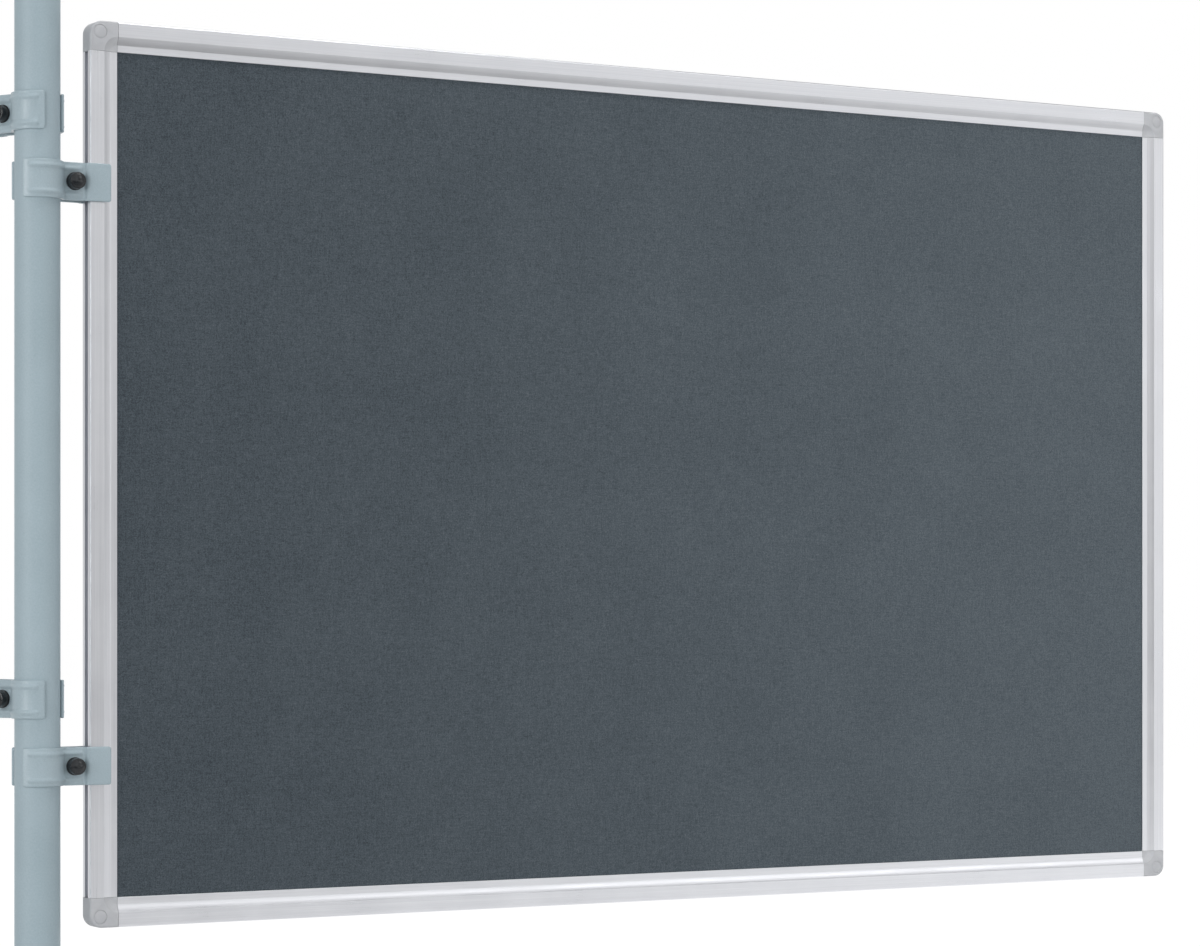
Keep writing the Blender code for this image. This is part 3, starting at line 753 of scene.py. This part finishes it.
def cove_cutter():
    """What the cove leaves out where it turns round the cap's inner corner."""
    cove = [(PROFILE_FACE - x, y) for x, y in cove_points()]
    outer_x, outer_y = cove[0]
    next_x, next_y = cove[1]
    slope = (outer_x - next_x) / (outer_y - next_y)
    rim = (outer_x + slope * CUT, outer_y + CUT)
    inside = [(PROFILE_FACE - COVE_END - HOLD, LIP_LEVEL), (0, LIP_LEVEL)]
    return turned("cove_cutter", [(0, outer_y + CUT), rim] + cove + inside, TUBE_POINTS)


def leg(along_x):
    """One leg of a corner cap, in the chamber of the profile beside it, and the place it has there."""
    near = GROOVE_DEPTH + WALL + CLEARANCE
    far = SLOT_BOTTOM - WALL - CLEARANCE
    half = HALF_DEPTH - WALL - CLEARANCE
    tip = PROFILE_FACE + LEG_LENGTH

    def section(taper):
        sides = ((near + taper, -half + taper), (far - taper, -half + taper))
        return list(sides) + [(x, -y) for x, y in reversed(sides)]

    layers = [
        (section(0), PROFILE_FACE - LEG_ROOT),
        (section(0), tip - 2 * LEG_TAPER),
        (section(LEG_TAPER), tip),
    ]
    if along_x:
        place = Matrix(((0, 0, 1, 0), (1, 0, 0, 0), (0, 1, 0, 0), (0, 0, 0, 1)))
    else:
        place = Matrix(((1, 0, 0, 0), (0, 0, 1, 0), (0, -1, 0, 0), (0, 0, 0, 1)))
    return stacked("leg", layers), place


def corner_mesh():
    """Cap, panel slot, coves, plug seats and legs, with the depth along z."""
    low = Vector((SLOT_BOTTOM, SLOT_BOTTOM, -SLOT_HALF))
    high = Vector((PROFILE_FACE + CUT, PROFILE_FACE + CUT, SLOT_HALF))
    slot = box_mesh("panel_slot", low, high)
    cove = cove_cutter()
    foot, mouth = HALF_DEPTH - PLUG_DEPTH, HALF_DEPTH + CUT
    seat = drill_mesh("plug_seat", PLUG_RADIUS + PLUG_GAP, foot, mouth, PLUG_POINTS)
    inner_corner = Matrix.Translation((PROFILE_FACE, PROFILE_FACE, 0))
    plug_place = Matrix.Translation((PLUG_INSET, PLUG_INSET, 0))
    over = Matrix.Rotation(math.pi, 4, "X")
    legs = [leg(along_x) for along_x in (True, False)]
    steps = [(mesh, "UNION", place) for mesh, place in legs]
    steps += [
        (slot, "DIFFERENCE", Matrix()),
        (cove, "DIFFERENCE", inner_corner),
        (cove, "DIFFERENCE", inner_corner @ over),
        (seat, "DIFFERENCE", plug_place),
        (seat, "DIFFERENCE", plug_place @ over),
    ]
    return carved("corner_cap", corner_blank(), steps, bevel=CORNER_EASE)


def plug_mesh():
    """A round plug: its face shallowly domed inside a fine rim, its foot at z = 0."""
    face = PLUG_DEPTH - CLEARANCE
    rim = PLUG_RADIUS - PLUG_RIM
    dome = crowned(rim, face, PLUG_CROWN, (0, 0.2, 0.4, 0.6, 0.8, 0.93))
    edge = [
        (rim, face - PLUG_RIM_DROP, 0.0002),
        (PLUG_RADIUS, face - PLUG_RIM_DROP, 0.0005),
        (PLUG_RADIUS, 0, 0.0002),
        (0, 0, 0),
    ]
    return turned("plug", softened(dome + edge, 3), PLUG_POINTS)


def add_corners():
    """The same corner cap four times, each with a plug on both faces."""
    cap, plug = corner_mesh(), plug_mesh()
    plastic = corner_plastic()
    stand = Matrix(((1, 0, 0, 0), (0, 0, -1, 0), (0, 1, 0, 0), (0, 0, 0, 1)))
    corners = (
        ("bottom_left", LEFT, BOTTOM, Matrix()),
        ("bottom_right", RIGHT, BOTTOM, Matrix.Rotation(math.pi, 4, "Z")),
        ("top_right", RIGHT, TOP, Matrix.Rotation(math.pi, 4, "Y")),
        ("top_left", LEFT, TOP, Matrix.Rotation(math.pi, 4, "X")),
    )
    for name, x, z, turn in corners:
        place = Matrix.Translation((x, 0, z)) @ turn @ stand
        piece(f"corner_{name}_cap", cap, plastic, f"corner_{name}", place)
        for side in (1, -1):
            seat = Matrix.Translation((PLUG_INSET, PLUG_INSET, side * (HALF_DEPTH - PLUG_DEPTH + CLEARANCE)))
            if side < 0:
                seat = seat @ Matrix.Rotation(math.pi, 4, "X")
            plug_place = place @ seat
            face = "front" if plug_place.col[2].y < 0 else "back"
            piece(f"plug_{face}_{name}_disc", plug, plastic, f"plug_{face}_{name}", plug_place)


def add_pole(coat, black):
    """The tube, and the plastic cap whose spigot stands in its upper end."""
    outer, inner = POLE_RADIUS, POLE_RADIUS - POLE_WALL
    low, high = POLE_LOW.z, POLE_HIGH.z
    wall = [
        (outer, low, POLE_LIP),
        (outer, high, POLE_LIP),
        (inner, high, POLE_LIP),
        (inner, low, POLE_LIP),
    ]
    tube = turned("pole_tube", softened_ring(wall, HOLD), TUBE_POINTS, closed=True)
    piece("pole_tube", tube, coat, "pole")
    _, cap_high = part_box("pole_top_cap")
    seat = high + CLEARANCE
    rim = cap_high.z - POLE_CAP_CROWN
    spigot = inner - CLEARANCE
    hollow = spigot - POLE_CAP_SKIN
    dome = crowned(outer - POLE_CAP_MARGIN, rim, POLE_CAP_CROWN, (0, 0.25, 0.5, 0.75, 0.92))
    body = [
        (outer, rim, POLE_CAP_CROWN),
        (outer, seat, 0.0003),
        (spigot, seat, 0.0002),
        (spigot, seat - POLE_CAP_SPIGOT, POLE_CAP_EDGE),
        (hollow, seat - POLE_CAP_SPIGOT, POLE_CAP_EDGE),
        (hollow, seat - CLEARANCE, POLE_CAP_EDGE),
        (0, seat - CLEARANCE, 0),
    ]
    cap = turned("pole_end_cap", softened(dome + body, 5), TUBE_POINTS)
    piece("pole_top_cap_dome", cap, black, "pole_top_cap")


def smooth_rise(share):
    """Rises from 0 to 1 with the share, level at both ends."""
    return share ** 2 * (3 - 2 * share)


def jaw_path():
    """The strip's path in plan, from its free end to the end of the grip.

    Each row is a point, the normal that points outwards there, and the share of the beads' height.
    """
    path = []

    def on_saddle(angle, bead):
        out = (math.cos(angle), math.sin(angle))
        path.append(((SADDLE_RADIUS * out[0], SADDLE_RADIUS * out[1]), out, bead))

    def on_level(x, level, bead):
        path.append(((x, level), (0, 1), bead))

    for along in (0, END_ROW):
        on_saddle(WRAP_ANGLE - along / SADDLE_RADIUS, 0)
    for share in (0, *shares(6)):
        on_saddle(WRAP_ANGLE - (BEAD_START + share * BEAD_RUN_OUT) / SADDLE_RADIUS, smooth_rise(share))
    start = WRAP_ANGLE - (BEAD_START + BEAD_RUN_OUT) / SADDLE_RADIUS
    for share in shares(36):
        on_saddle(start + (ROOT_ANGLE - start) * share, 1)
    for share in shares(10):
        angle = ROOT_ANGLE + math.pi + (math.pi / 2 - ROOT_ANGLE) * share
        spot = (NECK_START + ROOT_RADIUS * math.cos(angle), ROOT_HEIGHT + ROOT_RADIUS * math.sin(angle))
        path.append((spot, (-math.cos(angle), -math.sin(angle)), 1))
    full = NECK_END - BEAD_RUN_OUT
    for share in shares(8):
        on_level(NECK_START + (full - NECK_START) * share, NECK_LEVEL, 1)
    for share in shares(6):
        on_level(full + BEAD_RUN_OUT * share, NECK_LEVEL, smooth_rise(1 - share))
    for share in shares(7):
        angle = STEP_ANGLE * share
        spot = (NECK_END + STEP_RADIUS * math.sin(angle), NECK_LEVEL + STEP_RADIUS * (1 - math.cos(angle)))
        path.append((spot, (-math.sin(angle), math.cos(angle)), 0))
    for share in shares(7):
        angle = STEP_ANGLE * (1 - share)
        spot = (GRIP_START - STEP_RADIUS * math.sin(angle), GRIP_LEVEL - STEP_RADIUS * (1 - math.cos(angle)))
        path.append((spot, (-math.sin(angle), math.cos(angle)), 0))
    for share in shares(5):
        on_level(GRIP_START + (GRIP_LENGTH - END_ROW) * share, GRIP_LEVEL, 0)
    on_level(GRIP_END, GRIP_LEVEL, 0)
    return path


def jaw_columns():
    """Heights across the strip and the share of the bead's height at each."""
    outer = JAW_HALF - BEAD_FROM_EDGE
    half = [(0, 0), (MIDDLE_ROW, 0)]
    for share in (0, *shares(10)):
        half.append((outer - BEAD_WIDTH * (1 - share), (1 - math.cos(math.tau * share)) / 2))
    half.append((JAW_HALF, 0))
    return [(-z, share) for z, share in reversed(half[1:])] + half


def jaw_strip():
    """The bent strip and its beads as a closed mesh, with its four corner edges marked for rounding."""
    bm = bmesh.new()
    weight = bm.edges.layers.float.new("bevel_weight_edge")
    columns = jaw_columns()

    def join(row_a, row_b):
        for i in range(len(row_a) - 1):
            bm.faces.new((row_a[i], row_a[i + 1], row_b[i + 1], row_b[i]))

    skins = []
    for side in (-1, 1):
        rows = []
        for (x, y), (out_x, out_y), bead in jaw_path():
            row = []
            for z, share in columns:
                off = side * STEEL / 2 + bead * share * BEAD_HEIGHT
                row.append(bm.verts.new((x + out_x * off, y + out_y * off, z)))
            rows.append(row)
        for row_a, row_b in zip(rows, rows[1:]):
            join(row_a, row_b)
        skins.append(rows)
    inner, outer = skins
    for k in range(len(inner) - 1):
        for end in (0, -1):
            bm.faces.new((inner[k][end], inner[k + 1][end], outer[k + 1][end], outer[k][end]))
    for row_a, row_b in ((inner[0], outer[0]), (inner[-1], outer[-1])):
        join(row_a, row_b)
        for end in (0, -1):
            bm.edges.get((row_a[end], row_b[end]))[weight] = 1.0
    return mesh_from("jaw_strip", bm)


def jaw_mesh():
    """The pressed jaw: the strip with rounded corners, eased edges and the screw's hole."""

    def shape(obj):
        corners = obj.modifiers.new("corners", "BEVEL")
        corners.limit_method = "WEIGHT"
        corners.width = JAW_CORNER
        corners.segments = JAW_CORNER_STEPS
        ease(obj, JAW_EDGE, JAW_EASE_ANGLE)

    blank = settled("jaw_blank", jaw_strip(), shape)
    drill = drill_mesh("drill", SCREW_RADIUS + CLEARANCE, 0, NECK_HALF_GAP + STEEL + CUT, HOLE_POINTS)
    place = Matrix.Translation((SCREW_REACH, 0, 0)) @ Matrix.Rotation(-math.pi / 2, 4, "X")
    return carved("jaw", blank, [(drill, "DIFFERENCE", place)])


def hex_reach(angle):
    """A hexagon's reach from its middle in a direction, its corners at multiples of 60 degrees."""
    return HEX_WIDTH / 2 / math.cos(angle % (math.tau / 6) - math.tau / 12)


def hex_rings(count, low, high):
    """Rings up a hexagon whose corners are cut back by a cone at both ends."""
    flat = HEX_WIDTH / 2 - HEX_MARGIN

    def ring(radius_of, height_of):
        return [(radius_of(a) * math.cos(a), radius_of(a) * math.sin(a), height_of(a)) for a in turns(count)]

    def drop(angle):
        return (hex_reach(angle) - flat) * math.tan(HEX_CONE)

    return [
        ring(lambda angle: flat, lambda angle: low),
        ring(hex_reach, lambda angle: low + drop(angle)),
        ring(hex_reach, lambda angle: high - drop(angle)),
        ring(lambda angle: flat, lambda angle: high),
    ]


def screw_mesh():
    """Hexagon head and a shank with a real helical thread: seat at z = 0, head towards +z."""
    length = HEAD_SEAT + NUT_SEAT + NUT_HEIGHT + PAST_NUT
    rings = list(reversed(hex_rings(SCREW_POINTS, 0, HEX_HEIGHT)))
    rings.append(flat_ring(SCREW_RADIUS, 0, SCREW_POINTS))
    steps = int(length / THREAD_PITCH * RINGS_A_TURN)
    for share in shares(steps):
        z = -length * share
        fade = min(1, (length + z) / THREAD_FADE)
        ring = []
        for k, angle in enumerate(turns(SCREW_POINTS)):
            turn = (z / THREAD_PITCH + k / SCREW_POINTS) % 1
            radius = SCREW_RADIUS - THREAD_DEPTH * abs(2 * turn - 1) - (1 - fade) * THREAD_TIP
            ring.append((radius * math.cos(angle), radius * math.sin(angle), z))
        rings.append(ring)
    return ringed("screw", rings)


def nut_mesh():
    """Hexagon nut with a chamfered bore, its foot at z = 0."""
    bore = SCREW_RADIUS + CLEARANCE
    mouth = bore + NUT_CHAMFER
    rings = hex_rings(NUT_POINTS, 0, NUT_HEIGHT)
    rings += [
        flat_ring(mouth, NUT_HEIGHT, NUT_POINTS),
        flat_ring(bore, NUT_HEIGHT - NUT_CHAMFER, NUT_POINTS),
        flat_ring(bore, NUT_CHAMFER, NUT_POINTS),
        flat_ring(mouth, 0, NUT_POINTS),
    ]
    return ringed("nut", rings, closed=True)


def washer_mesh():
    """Flat washer, punched: its upper outer edge rounder than the others."""
    outer, bore = WASHER_RADIUS, SCREW_RADIUS + CLEARANCE
    corners = [
        (outer, 0, 0.0004),
        (outer, WASHER_THICKNESS, 0.0005),
        (bore, WASHER_THICKNESS, 0.0002),
        (bore, 0, 0.0002),
    ]
    return turned("washer", softened_ring(corners), CAP_POINTS, closed=True)


def screw_cap_mesh():
    """The domed cap: a skirt with a foot bead, a rim, a fine groove inside it and a crown with a dimple."""
    top, outer = SCREW_CAP_HEIGHT, SCREW_CAP_RADIUS
    shoulder = top - SCREW_CAP_CROWN
    groove = outer - SCREW_CAP_RIM
    pocket = HEX_WIDTH / math.sqrt(3) + CLEARANCE
    dimple = [(0, top - DIMPLE_DEPTH, 0), (0.0008, top - 0.0003, 0), (DIMPLE_RADIUS, top, 0.0008)]
    crown_base, crown_height = shoulder + SCREW_CAP_STEP, SCREW_CAP_CROWN - SCREW_CAP_STEP
    dome = crowned(groove, crown_base, crown_height, (0.3, 0.45, 0.6, 0.75, 0.88), 2.4)
    body = [
        (groove, shoulder + 0.0002, 0.0003),
        (groove + 0.0003, shoulder + 0.0006, 0.0003),
        (outer - 0.0003, shoulder + 0.0002, 0.0009),
        (outer - SCREW_CAP_STEP, SCREW_CAP_FOOT + SCREW_CAP_STEP, 0.0003),
        (outer, SCREW_CAP_FOOT, 0.0002),
        (outer, 0, 0.0003),
        (pocket, 0, 0.0002),
        (pocket, HEX_HEIGHT + CLEARANCE, 0.0004),
        (0, HEX_HEIGHT + CLEARANCE, 0),
    ]
    return turned("screw_cap", softened(dimple + dome + body, 4), CAP_POINTS)


def add_clamps(coat, black):
    """Every clamp is the same two pressings, screw, cap, washer and nut."""
    jaw = jaw_mesh()
    over = Matrix.Rotation(math.pi, 4, "X")
    axis = Matrix.Translation((SCREW_REACH, 0, 0))
    to_front = axis @ Matrix.Rotation(math.pi / 2, 4, "X")
    to_back = axis @ Matrix.Rotation(-math.pi / 2, 4, "X")
    at_head = to_front @ Matrix.Translation((0, 0, HEAD_SEAT))
    zinc, dark = zinc_plate(), black_steel()
    parts = (
        ("back_jaw", "pressing", jaw, coat, Matrix()),
        ("front_jaw", "pressing", jaw, coat, over),
        ("washer", "disc", washer_mesh(), dark, to_front @ Matrix.Translation((0, 0, WASHER_SEAT))),
        ("screw", "thread", screw_mesh(), zinc, at_head),
        ("screw_cap", "dome", screw_cap_mesh(), black, at_head),
        ("nut", "hexagon", nut_mesh(), zinc, to_back @ Matrix.Translation((0, 0, NUT_SEAT))),
    )
    to_neighbour = Matrix.Rotation(NEIGHBOUR_TURN, 4, "Z") @ over
    for clamp in ("right_lower", "right_upper", "left_lower", "left_upper"):
        low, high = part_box(f"{clamp}_front_jaw")
        turn = Matrix() if clamp.startswith("right") else to_neighbour
        stand = Matrix.Translation((0, 0, (low.z + high.z) / 2)) @ turn
        for node, word, mesh, material, place in parts:
            piece(f"{clamp}_{node}_{word}", mesh, material, f"{clamp}_{node}", stand @ place)


# Camera: level, turned from the board's normal, its frame slid upwards so that upright edges stay upright
IMAGE_WIDTH, IMAGE_HEIGHT = 1200, 946
VIEW_TURN = math.radians(29.9)
FOCAL_PIXELS = 3528.4
HORIZON_ROW = 599.8
POLE_ASIDE = 0.6159
POLE_AWAY = 3.8628
CAMERA_HEIGHT = 0.4317


def add_camera():
    """The photograph's view of the board."""
    data = bpy.data.cameras.new("camera")
    data.sensor_fit = "HORIZONTAL"
    data.lens = data.sensor_width * FOCAL_PIXELS / IMAGE_WIDTH
    data.shift_y = (HORIZON_ROW - IMAGE_HEIGHT / 2) / IMAGE_WIDTH
    camera = add_object("camera", data)
    right = Vector((math.cos(VIEW_TURN), -math.sin(VIEW_TURN), 0))
    forward = Vector((math.sin(VIEW_TURN), math.cos(VIEW_TURN), 0))
    camera.location = right * POLE_ASIDE - forward * POLE_AWAY + Vector((0, 0, CAMERA_HEIGHT))
    camera.rotation_euler = (math.pi / 2, 0, -VIEW_TURN)
    bpy.context.scene.camera = camera


# Light: the world's fill, its levels in reflections, and the directions of its panel and its window
FILL = 0.38
LEFT_LEVEL = 0.87
RIGHT_LEVEL = 0.64
PANEL_LEVEL = 1.2
WINDOW_LEVEL = 2.2
STRIP_LEVEL = 0.4
PANEL_X, PANEL_Y = 0.616, 0.788
WINDOW_X, WINDOW_Y, WINDOW_Z = 0.544, 0.696, 0.469

# Floor: its shade to light and in reflections, and its glow to the eye
FLOOR_SHADE = 0.52
FLOOR_MIRRORED = 0.25
FLOOR_GLOW = 1.14
FLOOR_GLOW_SHARE = 0.85
FLOOR_REACH = 30


def add_lamp(name, spot, aim, size, power, mirrored=True, spread=180):
    """A rectangle of light at spot that faces aim, in metres and watts; spread is its beam in degrees."""
    data = bpy.data.lights.new(name, "AREA")
    data.shape = "RECTANGLE"
    data.size, data.size_y = size
    data.energy = power
    data.spread = math.radians(spread)
    lamp = add_object(name, data)
    lamp.visible_camera = False
    lamp.visible_glossy = mirrored
    lamp.location = spot
    lamp.rotation_euler = (Vector(aim) - Vector(spot)).to_track_quat("-Z", "Y").to_euler()


def add_world():
    """Plain white to the eye, a soft fill as light, and pale grey in reflections.

    The grey darkens upwards, to the right and behind the board. It has a paler panel in front of the board
    and to its right, a bright window above the panel, and a narrow strip almost straight in front.
    """
    world = bpy.data.worlds.new("studio")
    bpy.context.scene.world = world
    world.use_nodes = True
    room = Room(world.node_tree)
    aside, ahead, upward = room.axes(room.node("ShaderNodeTexCoord", {}, {}))
    along_panel = aside * PANEL_Y + ahead * PANEL_X
    to_panel = aside * PANEL_X - ahead * PANEL_Y
    to_window = aside * WINDOW_X - ahead * WINDOW_Y + upward * WINDOW_Z
    panel = room.spread(along_panel, -0.27, -0.12) * room.spread(along_panel, 0.1, 0.2, PANEL_LEVEL, 0)
    panel = panel * room.spread(to_panel, 0.5, 0.6) * room.spread(upward, 0.05, 0.22, 1, 0)
    window = room.spread(to_window, 0.985, 0.993, 0, WINDOW_LEVEL)
    strip = room.spread(aside, -0.02, 0.06, 0, STRIP_LEVEL) * room.spread(aside, 0.15, 0.24, 1, 0)
    mirrored = panel + window - upward * 0.15 + room.spread(aside, 0.2, 0.38, LEFT_LEVEL, RIGHT_LEVEL)
    mirrored = mirrored - room.spread(ahead, 0.2, 0.7, 0, 0.12)
    mirrored = mirrored + strip * room.spread(ahead, -0.3, -0.1, 1, 0)
    glossy, seen = room.ray("Is Glossy Ray"), room.ray("Is Camera Ray")
    seen = seen.math("MAXIMUM", seen, room.ray("Is Transmission Ray"))
    strength = glossy * (mirrored - FILL) + seen * (1 - FILL) + FILL
    back = room.node("ShaderNodeBackground", {}, {"Color": colour(1, 1, 1), "Strength": strength})
    room.node("ShaderNodeOutputWorld", {}, {"Surface": back})


def add_floor():
    """A pale floor under the pole's end, which keeps the shadow.

    It is nearly white to the eye. In reflections it glows, paler to the right, near the board and behind it:
    painted light.
    """
    bm = bmesh.new()
    bmesh.ops.create_grid(bm, x_segments=1, y_segments=1, size=FLOOR_REACH)
    floor = add_object("floor", mesh_from("floor", bm))
    floor.location = (0, 0, cad_low.z)
    material = bpy.data.materials.new("floor")
    material.use_nodes = True
    room = Room(material.node_tree)
    glossy = room.ray("Is Glossy Ray")
    glossy = glossy.math("MAXIMUM", glossy, room.ray("Is Transmission Ray"))
    shade = room.spread(glossy, 0, 1, FLOOR_SHADE, FLOOR_MIRRORED)
    matt = room.node("ShaderNodeBsdfDiffuse", {}, {"Color": shade})
    glow = room.node("ShaderNodeEmission", {}, {"Color": colour(1, 1, 1), "Strength": FLOOR_GLOW})
    across, depth, _ = room.axes(room.node("ShaderNodeTexCoord", {}, {}, "Object"))
    # painted light: a glow that only reflections see, stronger to the right, near the board and behind it
    reflected_glow = room.spread(across + depth * 0.6, -1.6, 2.1, 0, 0.64) + room.spread(depth, -0.98, -0.78, 0, 0.46)
    share = room.ray("Is Camera Ray") * FLOOR_GLOW_SHARE + glossy * reflected_glow
    surface = room.node("ShaderNodeMixShader", {}, {0: share, 1: matt, 2: glow})
    room.node("ShaderNodeOutputMaterial", {}, {"Surface": surface})
    floor.data.materials.append(material)


def add_lamps():
    """Plain white light from all around; only the key and top lamps also show in the metal."""
    add_lamp("key", (-3.8, -1.1, 1.1), (0.1, 0, 0.5), (1.2, 2.1), 44)
    add_lamp("left", (-3.0, -2.5, 0.8), (0.1, 0, 0.5), (0.9, 1.8), 42, mirrored=False)
    add_lamp("top", (0.6, -0.6, 3.0), (0.6, 0, 0.6), (1.8, 0.35), 25)
    add_lamp("side", (3.2, -2.6, 0.4), (1.6, 0, 0.35), (1.6, 1.8), 5, mirrored=False, spread=46)
    add_lamp("front", (0.85, -2.3, 0.25), (0.75, 0, 0.15), (2.0, 0.5), 13.5, mirrored=False)
    add_lamp("back", (0.5, 3.6, 1.9), (0.7, 0, 0.5), (2.0, 2.0), 88, mirrored=False)
    add_lamp("flank", (4.2, 1.9, 1.0), (1.3, 0, 0.5), (1.2, 1.8), 34, mirrored=False)


def main():
    bpy.context.scene.view_settings.view_transform = "Standard"
    black = black_plastic()
    add_pole(powder_coat("tube_coat", peel_depth=0.00008, rough=0.46, shine=0.04), black)
    add_frame()
    add_panel()
    add_corners()
    add_clamps(powder_coat("pressing_coat", peel_depth=0.0003, rough=0.36, shine=0.35), black)
    add_camera()
    add_world()
    add_floor()
    add_lamps()


main()
